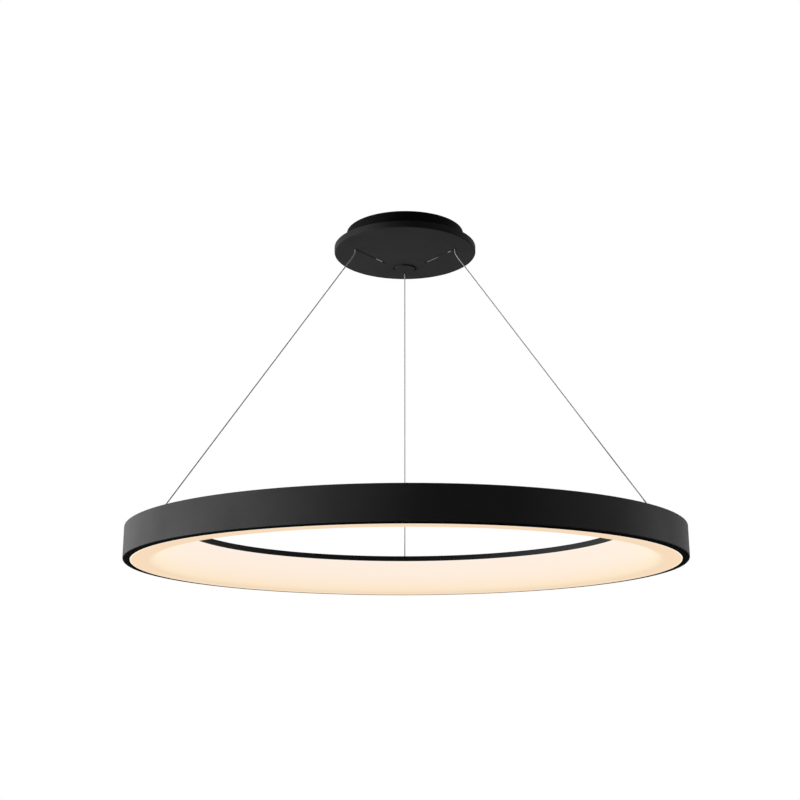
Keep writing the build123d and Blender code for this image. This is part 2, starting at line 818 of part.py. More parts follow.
# Countersunk screws of the top plate
with BuildPart() as top_screws:
    with Locations((0, 0, ring_top_z)):
        with PolarLocations(outer_screw_r, outer_screw_count, start_angle=outer_screw_start):
            Cone(m3_r, m3_head_r, sink_t, align=hang_down)
            Cylinder(m3_r, top_t + ledge_t, align=hang_down)
    with Locations((0, 0, inner_top_z)):
        with PolarLocations(inner_screw_r, inner_screw_count, start_angle=inner_screw_start):
            Cone(m3_r, m3_head_r, sink_t, align=hang_down)
            Cylinder(m3_r, top_t + ledge_t, align=hang_down)
top_screws.part.label = "top_screws"
export_step(top_screws.part, "parts/top_screws.step")

# Curved circuit boards under the top plate
with BuildPart() as led_boards:
    with BuildSketch(Plane.XY.offset(ledge_z)):
        Circle(board_r + board_w / 2)
        Circle(board_r - board_w / 2, mode=Mode.SUBTRACT)
        with PolarLocations(board_r, board_count, start_angle=board_start):
            Rectangle(2 * board_w, board_gap, mode=Mode.SUBTRACT)
        with PolarLocations(board_r, board_screw_count, start_angle=board_screw_start):
            Circle(m3_r + fit_gap, mode=Mode.SUBTRACT)
    extrude(amount=-board_t)
led_boards.part.label = "led_boards"
export_step(led_boards.part, "parts/led_boards.step")

# Light-emitting chips, evenly round the boards
with BuildPart() as led_chips:
    with BuildSketch(Plane.XY.offset(board_z)):
        with PolarLocations(board_r, chip_count, start_angle=180.0 / chip_count):
            Rectangle(chip_size, chip_size)
    extrude(amount=-chip_t)
led_chips.part.label = "led_chips"
export_step(led_chips.part, "parts/led_chips.step")

# Screws of the circuit boards
with BuildPart() as board_screws:
    with BuildSketch(Plane.XY.offset(board_z)):
        with PolarLocations(board_r, board_screw_count, start_angle=board_screw_start):
            Circle(m3_head_r)
    extrude(amount=-board_head_t)
    with BuildSketch(Plane.XY.offset(board_z)):
        with PolarLocations(board_r, board_screw_count, start_angle=board_screw_start):
            Circle(m3_r)
    extrude(amount=board_t + board_screw_bite)
board_screws.part.label = "board_screws"
export_step(board_screws.part, "parts/board_screws.step")

# Opal diffuser: stepped lip on the rim, flat band, soft bend, slope, and a lip in the inner channel
with BuildPart() as diffuser:
    with BuildSketch(Plane.XZ):
        with BuildLine():
            lower = FilletPolyline(
                (step_r, ring_z),
                (lower_corner_r, ring_z),
                (diffuser_top_r, lip_z),
                radius=diffuser_bend_r,
            )
            upper = FilletPolyline(
                (step_r - diffuser_t, ring_z + diffuser_t),
                (upper_corner_r, ring_z + diffuser_t),
                (upper_top_r, lip_z + diffuser_t),
                radius=diffuser_bend_r - diffuser_t,
            )
            Polyline(
                lower @ 1,
                (strip_out_r + diffuser_edge_gap, lip_z),
                (strip_out_r + diffuser_edge_gap, lip_z + diffuser_t),
                upper @ 1,
            )
            Polyline(
                lower @ 0,
                (step_r, rim_top_z),
                (wall_in_r - diffuser_edge_gap, rim_top_z),
                (wall_in_r - diffuser_edge_gap, rim_top_z + diffuser_t),
                (step_r - diffuser_t, rim_top_z + diffuser_t),
                upper @ 0,
            )
        make_face()
    revolve(axis=Axis.Z)
diffuser.part.label = "diffuser"
export_step(diffuser.part, "parts/diffuser.step")

# Spring clips on the wall that keep the lip of the diffuser down on the rim
with BuildPart() as lip_clips:
    with Locations((0, 0, rim_top_z + diffuser_t + fit_gap)):
        with PolarLocations(wall_in_r - clip_wall_gap, clip_count, start_angle=clip_start):
            Box(clip_t, clip_w, clip_h, align=(Align.MAX, Align.CENTER, Align.MIN))
            Box(clip_reach, clip_w, clip_t, align=(Align.MAX, Align.CENTER, Align.MIN))
lip_clips.part.label = "lip_clips"
export_step(lip_clips.part, "parts/lip_clips.step")

# Flanged bushes in the top plate through which the cables enter the ring
with BuildPart() as anchor_bushes:
    with BuildSketch(Plane.XY.offset(ring_top_z)):
        with PolarLocations(anchor_r, anchor_count, start_angle=anchor_start):
            Circle(bush_flange_r)
    extrude(amount=bush_flange_t)
    fillet(anchor_bushes.edges().group_by(Axis.Z)[-1], edge_round)
    with BuildSketch(Plane.XY.offset(ring_top_z)):
        with PolarLocations(anchor_r, anchor_count, start_angle=anchor_start):
            Circle(bush_r)
    extrude(amount=-bush_l)
    with BuildSketch(Plane.XY.offset(bush_top_z)):
        with PolarLocations(anchor_r, anchor_count, start_angle=anchor_start):
            Circle(bush_bore_r)
    extrude(amount=-(bush_flange_t + bush_l), mode=Mode.SUBTRACT)
    bush_mouths = anchor_bushes.edges().filter_by(GeomType.CIRCLE).group_by(Axis.Z)[-1]
    fillet(bush_mouths.group_by(SortBy.RADIUS)[0], bush_flare)
anchor_bushes.part.label = "anchor_bushes"
export_step(anchor_bushes.part, "parts/anchor_bushes.step")

# Nuts of the bushes, under the top plate
with BuildPart() as anchor_nuts:
    with BuildSketch(Plane.XY.offset(ledge_z)):
        with PolarLocations(anchor_r, anchor_count, start_angle=anchor_start):
            RegularPolygon(nut_r, side_count=6)
            Circle(bush_r + fit_gap, mode=Mode.SUBTRACT)
    extrude(amount=-nut_t)
anchor_nuts.part.label = "anchor_nuts"
export_step(anchor_nuts.part, "parts/anchor_nuts.step")

# Crimped stops under the bushes, which carry the ring
with BuildPart() as cable_stops:
    with BuildSketch(Plane.XY.offset(bush_end_z)):
        with PolarLocations(anchor_r, anchor_count, start_angle=anchor_start):
            Circle(cable_stop_r)
            Circle(cable_r + loose_gap, mode=Mode.SUBTRACT)
    extrude(amount=-cable_stop_l)
cable_stops.part.label = "cable_stops"
export_step(cable_stops.part, "parts/cable_stops.step")

# Leads from the two front cables, which carry the low voltage, to the boards
with BuildPart() as ring_leads:
    for route in ring_lead_routes:
        with BuildLine() as ring_lead_path:
            FilletPolyline(*route, radius=ring_lead_bend_r)
        with BuildSketch(Plane(origin=ring_lead_path.line @ 0, z_dir=ring_lead_path.line % 0)):
            Circle(ring_lead_r)
        sweep(path=ring_lead_path.wire())
ring_leads.part.label = "ring_leads"
export_step(ring_leads.part, "parts/ring_leads.step")
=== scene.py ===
"""Looks of the ring pendant light: finishes, cables, small hardware, studio light and camera."""

import math

import bmesh
import bpy
from mathutils import Matrix, Vector

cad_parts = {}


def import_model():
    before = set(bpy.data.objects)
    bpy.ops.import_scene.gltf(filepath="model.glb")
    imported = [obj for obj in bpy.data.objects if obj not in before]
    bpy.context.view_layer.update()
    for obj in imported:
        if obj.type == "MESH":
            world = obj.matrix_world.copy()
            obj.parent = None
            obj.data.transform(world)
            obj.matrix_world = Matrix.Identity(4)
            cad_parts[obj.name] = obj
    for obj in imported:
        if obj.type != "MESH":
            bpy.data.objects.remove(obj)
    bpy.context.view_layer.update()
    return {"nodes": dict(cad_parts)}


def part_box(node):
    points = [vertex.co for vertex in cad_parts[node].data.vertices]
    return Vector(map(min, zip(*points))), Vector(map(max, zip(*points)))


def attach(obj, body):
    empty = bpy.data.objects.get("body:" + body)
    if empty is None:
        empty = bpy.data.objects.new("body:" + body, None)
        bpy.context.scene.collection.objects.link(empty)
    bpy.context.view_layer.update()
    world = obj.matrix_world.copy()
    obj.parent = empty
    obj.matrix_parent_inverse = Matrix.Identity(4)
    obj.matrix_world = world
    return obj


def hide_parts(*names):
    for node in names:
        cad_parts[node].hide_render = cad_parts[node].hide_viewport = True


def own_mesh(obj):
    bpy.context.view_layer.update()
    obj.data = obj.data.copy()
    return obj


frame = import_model()
nodes = frame["nodes"]

# Sizes read from the frame, in metres
PLATE_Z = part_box("cover_plate")[0].z
HOOP_LOW, HOOP_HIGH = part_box("outer_hoop")
BUSH_TOP_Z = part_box("anchor_bushes")[1].z
STOP_END_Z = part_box("cable_stops")[0].z
SPRING_LOW, SPRING_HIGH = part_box("clamp_spring")
UP = Vector((0.0, 0.0, 1.0))

# Route of the cables: the points of the part's source, and one more near each end of the straight run
CABLE_R = 0.0009
CABLE_LEAD = 0.008
ANCHOR_R = 0.414
ANCHOR_BEND_UP = 0.0065
NEAR_GUIDE = 0.024
NEAR_ANCHOR = 0.012
EXITS = {"left": (-0.0855, -0.025), "right": (0.0855, -0.025), "back": (0.0, 0.0935)}
ANCHOR_AZIMUTHS = {"left": 210.0, "right": 330.0, "back": 90.0}
ROUTE_RESOLUTION = 1000

# Strands of the ropes: the length of one turn, and the grooves' depth as a share of the rope's radius.
# The grooves reach down to the plain cable of the part's source.
STRANDS = 6
STRAND_LAY = 0.0108
STRAND_GROOVE = 0.14
ROPE_R = CABLE_R / (1 - STRAND_GROOVE)
ROPE_SIDES = 3 * STRANDS
ROPE_STEP = 0.001

# Wire of the clamp's spring
SPRING_WIRE_R = 0.00045
SPRING_TURNS = 4.5
SPRING_STEPS = 108
SPRING_SIDES = 8

# Threading slits in the cover plate: their ends, half their width, and the stretches where bare steel
# shows, each from one share of the slit's length to another, with the width of the steel
SLIT_END = (0.0355, 0.038)
SLIT_HALF = 0.00125
SLIT_WEAR = {"left": [(0.71, 0.93, 0.0008)], "right": [(0.15, 0.24, 0.0007), (0.58, 0.94, 0.0003)]}

# Drive recesses: crosses in the screws of the ring's top, each turned on from the last by an angle
# in radians, and six-sided sockets in the screws of the cover plate
# The recesses are no hollows: they are thin plates of painted shade let into the heads
RECESS_DEPTH = 0.0002
RECESS_LIFT = 0.00003
CROSS_REACH = 0.0017
CROSS_HALF = 0.0004
CROSS_TURN = 0.9
SOCKET_R = 0.00085
SOCKET_SIDES = 6
WELD_DISTANCE = 0.000001

# Black coats: their tones, the darkest and lightest mottle as multiples of them, and their gloss
# The tones of one black finish differ as painted shade: lightest on the ring's outer hoop, darker on the
# cover plate and the inner hoop, darkest on the cup
HOOP_LEVEL = 0.075
PLATE_LEVEL = 0.034
STRIP_SHADE_LEVEL = 0.030
CUP_SHADE_LEVEL = 0.008
COAT_DARK = 0.88
COAT_LIGHT = 1.27
COAT_SPECULAR = 0.01
HOOP_ROUGH = (0.44, 0.52)
COAT_ROUGH = (0.46, 0.54)
BASE_ROUGH = (0.50, 0.60)

# The rim's underside carries painted shade, a near black, and is matt; both fade into the coat between
# two heights above it
RIM_SHADE_LEVEL = 0.002
RIM_ROUGH = 1.0
RIM_SHADE_FADE = (0.0006, 0.0022)

# Opal shell: its glow between two radii, from the top of the slope to the lip, and its unlit surface
GLOW_LEVEL = 1.0
GLOW_FROM = 0.366
GLOW_TO = 0.439
GLOW_STOPS = [
    (0.00, (1.00, 0.930, 0.840)),
    (0.03, (0.985, 0.850, 0.737)),
    (0.19, (0.985, 0.842, 0.712)),
    (0.30, (0.985, 0.822, 0.660)),
    (0.41, (0.980, 0.792, 0.582)),
    (0.48, (0.945, 0.765, 0.550)),
    (0.55, (0.880, 0.715, 0.515)),
    (0.63, (0.868, 0.660, 0.455)),
    (0.96, (0.895, 0.660, 0.440)),
    (0.98, (1.00, 0.900, 0.740)),
]
OPAL_DARK = (0.008, 0.0075, 0.007)
OPAL_LIGHT = (0.011, 0.0105, 0.0095)
OPAL_ROUGH = (0.46, 0.54)
OPAL_SPECULAR = 0.02

# LED chips: the phosphor's colours and its glow
CHIP_DARK = (0.85, 0.66, 0.22)
CHIP_LIGHT = (0.95, 0.78, 0.35)
CHIP_ROUGH = 0.5
CHIP_GLOW = (1.0, 0.82, 0.55, 1.0)
CHIP_LEVEL = 1.0

# Rope steel: tones of the strands and of the painted shade in the grooves, and the scale at which a wave
# texture has one wave a strand
ROPE_LIGHT = 0.40
ROPE_GROOVE_SHADE = 0.19
ROPE_ROUGH = (0.50, 0.60)
ROPE_METALLIC = 0.2
WAVE_UNIT = math.pi / 10

# Grain of the finishes, in cells of noise to the metre
DRIFT_SCALE = 9.0
PEEL_SCALE = 1400.0
CLOUD_SCALE = 14.0
OPAL_SCALE = 900.0
CHIP_SCALE = 2000.0
ROPE_SCALE = 900.0
ZINC_SCALE = 500.0
STEEL_SCALE = 700.0
MOULD_SCALE = 600.0
FLOOR_SCALE = 0.8

# The part of a noise's range that a finish is spread over. The coats' mottle, which mixes the peel
# into the drift by a share, has a narrower one.
NOISE_LOW = 0.3
NOISE_HIGH = 0.7
PEEL_SHARE = 0.5
MOTTLE_LOW = 0.38
MOTTLE_HIGH = 0.62

# Bump of the finishes: strength and height
PEEL_BUMP = (0.25, 0.0003)
OPAL_BUMP = (0.05, 0.0002)
METAL_BUMP = (0.10, 0.0002)
MOULD_BUMP = (0.15, 0.0002)

# Camera, from the photograph: distance and height are from the ring's axis and rim, angles in degrees
PHOTO_SIZE = 800
FOCAL_PIXELS = 1217.1
SENSOR_MM = 36.0
CAMERA_X = -0.0100
CAMERA_DISTANCE = 1.980
CAMERA_BELOW_RIM = 0.2484
CAMERA_PITCH = 14.954
CAMERA_ROLL = 0.10

# Floor: its drop below the ring, half its width, its paint, and its glow that whitens between two radii
FLOOR_DROP = 2.05
FLOOR_HALF = 12.0
FLOOR_DARK = 0.30
FLOOR_LIGHT = 0.32
FLOOR_ROUGH = 0.8
FLOOR_SPECULAR = 0.2
FLOOR_GLOW = 0.65
FLOOR_NEAR = 1.5
FLOOR_FAR = 6.0

# Light: the world's level on the object and behind it, and the softboxes' places, sizes and watts
WHITE = (1.0, 1.0, 1.0, 1.0)
WORLD_LEVEL = 0.01
BACKDROP_LEVEL = 1.0
SOFTBOXES = {
    "left_softbox": ((-7.0, 0.17, -1.68), (3.5, 0.875), 670.0),
    "right_softbox": ((4.0, 1.05, -0.30), (2.0, 0.5), 54.0),
    "back_softbox": ((0.0, 4.0, 0.9), (3.0, 1.2), 60.0),
    "top_softbox": ((0.0, 0.0, 2.2), (3.0, 3.0), 34.0),
}


def material(name):
    """A new node material, with its tree and its shader, ready to wire up."""
    made = bpy.data.materials.new(name)
    made.use_nodes = True
    return made, made.node_tree, made.node_tree.nodes["Principled BSDF"]


def set_inputs(tree, target, values):
    """Give each of a node's inputs a plain value or the output of another node."""
    for key, value in values.items():
        if isinstance(value, bpy.types.NodeSocket):
            tree.links.new(value, target.inputs[key])
        else:
            target.inputs[key].default_value = value


def grey(value):
    """A colour with no hue."""
    return (value, value, value)


def object_coordinates(tree):
    """Coordinates that stay on the piece when it moves."""
    return tree.nodes.new("ShaderNodeTexCoord").outputs["Object"]


def noise(tree, scale, detail=3.0):
    """Noise in the piece's own coordinates; scale is in cells to the metre."""
    made = tree.nodes.new("ShaderNodeTexNoise")
    set_inputs(tree, made, {"Vector": object_coordinates(tree), "Scale": scale, "Detail": detail})
    return made.outputs["Fac"]


def ramp(tree, factor, stops):
    """Colour ramp; stops are (position, colour)."""
    made = tree.nodes.new("ShaderNodeValToRGB")
    elements = made.color_ramp.elements
    while len(elements) < len(stops):
        elements.new(0.5)
    for element, (position, colour) in zip(elements, stops):
        element.position = position
        element.color = (*colour, 1.0)
    set_inputs(tree, made, {"Fac": factor})
    return made.outputs["Color"]


def shades(tree, grain, dark, light):
    """Colour that goes from dark to light with the grain."""
    return ramp(tree, grain, [(NOISE_LOW, dark), (NOISE_HIGH, light)])


def spread(tree, factor, low, high, from_low=NOISE_LOW, from_high=NOISE_HIGH):
    """Map a factor onto a range of values."""
    made = tree.nodes.new("ShaderNodeMapRange")
    ends = {"From Min": from_low, "From Max": from_high, "To Min": low, "To Max": high}
    set_inputs(tree, made, {"Value": factor, **ends})
    return made.outputs["Result"]


def mix(tree, kind, share, first, second):
    """Mix a share of the second number or colour into the first."""
    made = tree.nodes.new("ShaderNodeMix")
    made.data_type = kind
    set_inputs(tree, made, {"Factor": share, "A": first, "B": second})
    return made.outputs["Result"]


def calculate(tree, kind, operation, *values):
    """A node that works out a number or a vector from others."""
    made = tree.nodes.new(kind)
    made.operation = operation
    set_inputs(tree, made, dict(enumerate(values)))
    return made


def bump(tree, shader, height, strength, distance):
    """Bump on the shader from a height."""
    made = tree.nodes.new("ShaderNodeBump")
    set_inputs(tree, made, {"Height": height, "Strength": strength, "Distance": distance})
    set_inputs(tree, shader, {"Normal": made.outputs["Normal"]})


def radius_of(tree):
    """Distance from the ring's axis."""
    level = (1.0, 1.0, 0.0)
    flat = calculate(tree, "ShaderNodeVectorMath", "MULTIPLY", object_coordinates(tree), level)
    length = calculate(tree, "ShaderNodeVectorMath", "LENGTH", flat.outputs["Vector"])
    return length.outputs["Value"]


def painted(name, level, rough):
    """Satin powder coat: fine orange peel in tone, gloss and height, over slow drifts in tone."""
    made, tree, shader = material(name)
    drift = noise(tree, DRIFT_SCALE, detail=2.0)
    peel = noise(tree, PEEL_SCALE, detail=2.0)
    mottle = mix(tree, "FLOAT", PEEL_SHARE, drift, peel)
    stops = [(MOTTLE_LOW, grey(COAT_DARK * level)), (MOTTLE_HIGH, grey(COAT_LIGHT * level))]
    set_inputs(tree, shader, {
        "Base Color": ramp(tree, mottle, stops),
        "Roughness": spread(tree, peel, *rough),
        "Specular IOR Level": COAT_SPECULAR,
    })
    bump(tree, shader, peel, *PEEL_BUMP)
    return made


def hoop_coat():
    """The ring's coat, with painted shade and a matt finish on the rim's underside and over the rounded
    edge beside it.
    """
    made = painted("black_coated_aluminium", HOOP_LEVEL, HOOP_ROUGH)
    tree = made.node_tree
    shader = tree.nodes["Principled BSDF"]
    coat = shader.inputs["Base Color"].links[0].from_socket
    gloss = shader.inputs["Roughness"].links[0].from_socket
    place = tree.nodes.new("ShaderNodeSeparateXYZ")
    set_inputs(tree, place, {"Vector": object_coordinates(tree)})
    low, high = (HOOP_LOW.z + rise for rise in RIM_SHADE_FADE)
    rim_shade_and_matt_fade = spread(tree, place.outputs["Z"], 0.0, 1.0, low, high)
    # Painted shade: the base colour darkens to near black towards the rim's underside
    set_inputs(tree, shader, {
        "Base Color": mix(tree, "RGBA", rim_shade_and_matt_fade, (*grey(RIM_SHADE_LEVEL), 1.0), coat),
        "Roughness": mix(tree, "FLOAT", rim_shade_and_matt_fade, RIM_ROUGH, gloss),
    })
    return made


def opal():
    """Opal acrylic lit from behind: palest high on the slope, warmer on the flat band at the rim."""
    made, tree, shader = material("opal_acrylic")
    across = spread(tree, radius_of(tree), 0.0, 1.0, GLOW_FROM, GLOW_TO)
    cloud = noise(tree, CLOUD_SCALE, detail=2.0)
    fine = noise(tree, OPAL_SCALE, detail=2.0)
    set_inputs(tree, shader, {
        "Emission Color": ramp(tree, across, GLOW_STOPS),
        "Emission Strength": GLOW_LEVEL,
        "Base Color": shades(tree, cloud, OPAL_DARK, OPAL_LIGHT),
        "Roughness": spread(tree, fine, *OPAL_ROUGH),
        "Specular IOR Level": OPAL_SPECULAR,
    })
    bump(tree, shader, fine, *OPAL_BUMP)
    return made


def metal(name, dark, light, rough, scale=STEEL_SCALE):
    """Bare or plated metal with fine uneven gloss."""
    made, tree, shader = material(name)
    fine = noise(tree, scale, detail=4.0)
    set_inputs(tree, shader, {
        "Base Color": shades(tree, fine, dark, light),
        "Roughness": spread(tree, fine, *rough),
        "Metallic": 1.0,
    })
    bump(tree, shader, fine, *METAL_BUMP)
    return made


def moulded(name, dark, light, rough):
    """Moulded plastic, rubber or wire sleeve with a fine grain."""
    made, tree, shader = material(name)
    grain = noise(tree, MOULD_SCALE)
    set_inputs(tree, shader, {
        "Base Color": shades(tree, grain, dark, light),
        "Roughness": spread(tree, grain, *rough),
    })
    bump(tree, shader, grain, *MOULD_BUMP)
    return made


def phosphor():
    """Yellow chip faces that glow."""
    made, tree, shader = material("chip_phosphor")
    fine = noise(tree, CHIP_SCALE)
    set_inputs(tree, shader, {
        "Base Color": shades(tree, fine, CHIP_DARK, CHIP_LIGHT),
        "Roughness": CHIP_ROUGH,
        "Emission Color": CHIP_GLOW,
        "Emission Strength": CHIP_LEVEL,
    })
    return made


def rope_steel():
    """Stranded steel: bright on the strands, with painted shade darkening the grooves between them."""
    made, tree, shader = material("rope_steel")
    wave = tree.nodes.new("ShaderNodeTexWave")
    strands = tree.nodes.new("ShaderNodeTexCoord").outputs["UV"]
    set_inputs(tree, wave, {"Vector": strands, "Scale": WAVE_UNIT})
    # Painted shade: the colour darkens from the strands' crests into the grooves
    groove_shade_tones = [(0.0, grey(ROPE_LIGHT)), (1.0, grey(ROPE_GROOVE_SHADE))]
    wear = noise(tree, ROPE_SCALE)
    set_inputs(tree, shader, {
        "Base Color": ramp(tree, wave.outputs["Fac"], groove_shade_tones),
        "Roughness": spread(tree, wear, *ROPE_ROUGH),
        "Metallic": ROPE_METALLIC,
    })
    return made


# The cup's and the inner hoop's coats are darker copies of the black coat, darkened as painted shade
BLACK_COAT = painted("black_powder_coat", PLATE_LEVEL, COAT_ROUGH)
STRIP_SHADE_COAT = painted("black_coat_strip_shade", STRIP_SHADE_LEVEL, COAT_ROUGH)
CUP_SHADE_COAT = painted("black_coat_cup_shade", CUP_SHADE_LEVEL, BASE_ROUGH)
BLACK_ALUMINIUM = hoop_coat()
OPAL = opal()
ROPE = rope_steel()
ZINC = metal("zinc_plate", grey(0.40), grey(0.52), rough=(0.30, 0.45), scale=ZINC_SCALE)
BLACKENED = metal("blackened_steel", grey(0.04), grey(0.07), rough=(0.35, 0.5))
WORN_STEEL = metal("worn_steel", grey(0.24), grey(0.34), rough=(0.35, 0.5))
CRIMP = metal("crimp_aluminium", grey(0.62), grey(0.74), rough=(0.3, 0.42))
BLACK_PLASTIC = moulded("black_plastic", grey(0.022), grey(0.032), rough=(0.45, 0.6))
WHITE_PLASTIC = moulded("white_plastic", grey(0.74), grey(0.82), rough=(0.4, 0.55))
RUBBER = moulded("grommet_rubber", grey(0.018), grey(0.028), rough=(0.6, 0.75))
RED_SLEEVE = moulded("wire_sleeve", (0.42, 0.05, 0.04), (0.52, 0.08, 0.06), rough=(0.4, 0.5))
BOARD = moulded("board_mask", grey(0.80), grey(0.88), rough=(0.35, 0.5))
PHOSPHOR = phosphor()
# Near-black painted shade for the drive recesses
RECESS = moulded("recess_shadow", grey(0.005), grey(0.009), rough=(0.7, 0.85))

FINISHES = {
    CUP_SHADE_COAT: ["canopy_base"],
    BLACK_COAT: ["cover_plate", "release_button", "cable_guides", "anchor_bushes"],
    BLACK_ALUMINIUM: ["outer_hoop", "top_plate"],
    STRIP_SHADE_COAT: ["inner_hoop"],
    OPAL: ["diffuser"],
    ROPE: ["left_tail", "right_tail", "back_tail"],
    ZINC: [
        "chassis_plate", "chassis_screws", "clamp_screws", "jaw_screws", "driver_screws", "earth_stud",
        "board_screws", "anchor_nuts", "lip_clips", "clamp_spring",
    ],
    BLACKENED: ["top_screws", "plate_screws"],
    CRIMP: ["tail_stops", "cable_stops"],
    BLACK_PLASTIC: ["clamp_body", "clamp_cap", "clamp_jaw"],
    WHITE_PLASTIC: ["driver_case", "terminal_block"],
    RED_SLEEVE: ["mains_leads", "output_leads", "ring_leads"],
    RUBBER: ["entry_grommet"],
    BOARD: ["led_boards"],
    PHOSPHOR: ["led_chips"],
}


def paint_nodes():
    """Give the part's nodes their finishes."""
    for finish, names in FINISHES.items():
        for name in names:
            nodes[name].data.materials.clear()
            nodes[name].data.materials.append(finish)


def link(name, data):
    """Put a mesh, curve, lamp or camera into the scene as an object."""
    made = bpy.data.objects.new(name, data)
    bpy.context.scene.collection.objects.link(made)
    return made


def add_piece(name, shape, finish, body):
    """Turn a closed shape into a piece that has a finish and rides on a body."""
    bmesh.ops.recalc_face_normals(shape, faces=shape.faces)
    mesh = bpy.data.meshes.new(name)
    shape.to_mesh(mesh)
    shape.free()
    mesh.materials.append(finish)
    made = link(name, mesh)
    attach(made, body)
    return made


def spline_points(points):
    """Points along the smooth line that has these control points."""
    curve = bpy.data.curves.new("route", "CURVE")
    curve.dimensions = "3D"
    spline = curve.splines.new("NURBS")
    spline.points.add(len(points) - 1)
    for target, point in zip(spline.points, points):
        target.co = (*point, 1.0)
    spline.order_u = 3
    spline.use_endpoint_u = True
    spline.resolution_u = ROUTE_RESOLUTION
    line = link("route", curve)
    bpy.context.view_layer.update()
    mesh = bpy.data.meshes.new_from_object(line.evaluated_get(bpy.context.evaluated_depsgraph_get()))
    found = [vertex.co.copy() for vertex in mesh.vertices]
    bpy.data.objects.remove(line)
    bpy.data.meshes.remove(mesh)
    bpy.data.curves.remove(curve)
    return found


def thinned(path, step):
    """The points of a path that are at least a step apart, with both ends."""
    kept = [path[0]]
    for point in path[1:-1]:
        if (point - kept[-1]).length >= step and (point - path[-1]).length >= step:
            kept.append(point)
    return kept + [path[-1]]


def tube(path, radius, sides, strands=0):
    """Closed tube along a path, smooth or with strands that wind round it; its UV counts the strands."""
    shape = bmesh.new()
    layer = shape.loops.layers.uv.new("strands")
    rings, along = [], [0.0]
    side = Vector((1.0, 0.0, 0.0))
    for i, point in enumerate(path):
        ahead = path[min(i + 1, len(path) - 1)] - path[max(i - 1, 0)]
        ahead.normalize()
        side = (side - ahead * side.dot(ahead)).normalized()
        other = ahead.cross(side)
        if i:
            along.append(along[-1] + (point - path[i - 1]).length)
        twist = 2 * math.pi * along[i] / STRAND_LAY if strands else 0.0
        ring = []
        for k in range(sides):
            angle = 2 * math.pi * k / sides
            reach = radius * (1 - STRAND_GROOVE * (1 - math.cos(strands * angle)) / 2)
            turned = angle + twist
            outward = math.cos(turned) * side + math.sin(turned) * other
            ring.append(shape.verts.new(point + reach * outward))
        rings.append(ring)
    for i in range(len(rings) - 1):
        for k in range(sides):
            near = (k + 1) % sides
            face = shape.faces.new((rings[i][k], rings[i][near], rings[i + 1][near], rings[i + 1][k]))
            face.smooth = True
            corners = ((k, i), (k + 1, i), (k + 1, i + 1), (k, i + 1))
            for loop, (around, row) in zip(face.loops, corners):
                loop[layer].uv = (around * strands / sides, along[row] / STRAND_LAY)
    shape.faces.new(reversed(rings[0]))
    shape.faces.new(rings[-1])
    return shape


def add_prism(shape, front, back):
    """Closed prism between two outlines that have the same number of corners."""
    front = [shape.verts.new(point) for point in front]
    back = [shape.verts.new(point) for point in back]
    shape.faces.new(front)
    shape.faces.new(reversed(back))
    for k in range(len(front)):
        near = (k + 1) % len(front)
        shape.faces.new((front[k], back[k], back[near], front[near]))


def cable(side):
    """One suspension cable, from its guide in the canopy to its stop in the ring."""
    azimuth = math.radians(ANCHOR_AZIMUTHS[side])
    anchor_x, anchor_y = ANCHOR_R * math.cos(azimuth), ANCHOR_R * math.sin(azimuth)
    start = Vector((*EXITS[side], PLATE_Z))
    corner = start - CABLE_LEAD * UP
    arrival = Vector((anchor_x, anchor_y, BUSH_TOP_Z + ANCHOR_BEND_UP))
    end = Vector((anchor_x, anchor_y, STOP_END_Z))
    run = (arrival - corner).normalized()
    route = [start, corner, corner + NEAR_GUIDE * run, arrival - NEAR_ANCHOR * run, arrival, end]
    path = thinned(spline_points(route), ROPE_STEP)
    rope = tube(path, ROPE_R, ROPE_SIDES, STRANDS)
    made = add_piece(f"{side}_rope", rope, ROPE, "canopy")
    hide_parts(f"{side}_cable")
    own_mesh(made)


def spring():
    """The clamp's spring, wound from wire."""
    middle = (SPRING_LOW + SPRING_HIGH) / 2
    radius = (SPRING_HIGH.x - SPRING_LOW.x) / 2 - SPRING_WIRE_R
    height = SPRING_HIGH.z - SPRING_LOW.z
    rise = height - 2 * SPRING_WIRE_R
    path = []
    for i in range(SPRING_STEPS + 1):
        share = i / SPRING_STEPS
        angle = 2 * math.pi * SPRING_TURNS * share
        offset = Vector((radius * math.cos(angle), radius * math.sin(angle), rise * (share - 0.5)))
        path.append(middle + offset)
    coil = tube(path, SPRING_WIRE_R, SPRING_SIDES)
    made = add_piece("spring_wire", coil, ZINC, "canopy")
    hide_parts("clamp_spring")
    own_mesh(made)


def slit_edges():
    """Beads of bare steel on the back edges of the slits, where the cables have rubbed the coat off."""
    shape = bmesh.new()
    for side, stretches in SLIT_WEAR.items():
        start = Vector((*EXITS[side], PLATE_Z))
        end = Vector((math.copysign(SLIT_END[0], start.x), SLIT_END[1], PLATE_Z))
        across = Vector((start.y - end.y, end.x - start.x, 0.0)).normalized()
        if across.y < 0:
            across = -across
        for low, high, size in stretches:
            ends = []
            for share in (low, high):
                foot = start.lerp(end, share) + SLIT_HALF * across
                ends.append((foot, foot + size * UP, foot + size * (UP - across)))
            add_prism(shape, *ends)
    add_piece("slit_edges", shape, WORN_STEEL, "canopy")


def loose_parts(node_name):
    """The separate solids of a node, each as a list of its points, in the order of the node's mesh."""
    shape = bmesh.new()
    shape.from_mesh(nodes[node_name].data)
    shape.transform(nodes[node_name].matrix_world)
    bmesh.ops.remove_doubles(shape, verts=shape.verts, dist=WELD_DISTANCE)
    waiting = set(shape.verts)
    parts = []
    for first in shape.verts:
        if first not in waiting:
            continue
        waiting.discard(first)
        part, reached = [first], [first]
        while reached:
            vertex = reached.pop()
            for edge in vertex.link_edges:
                other = edge.other_vert(vertex)
                if other in waiting:
                    waiting.discard(other)
                    part.append(other)
                    reached.append(other)
        parts.append([vertex.co.copy() for vertex in part])
    shape.free()
    return parts


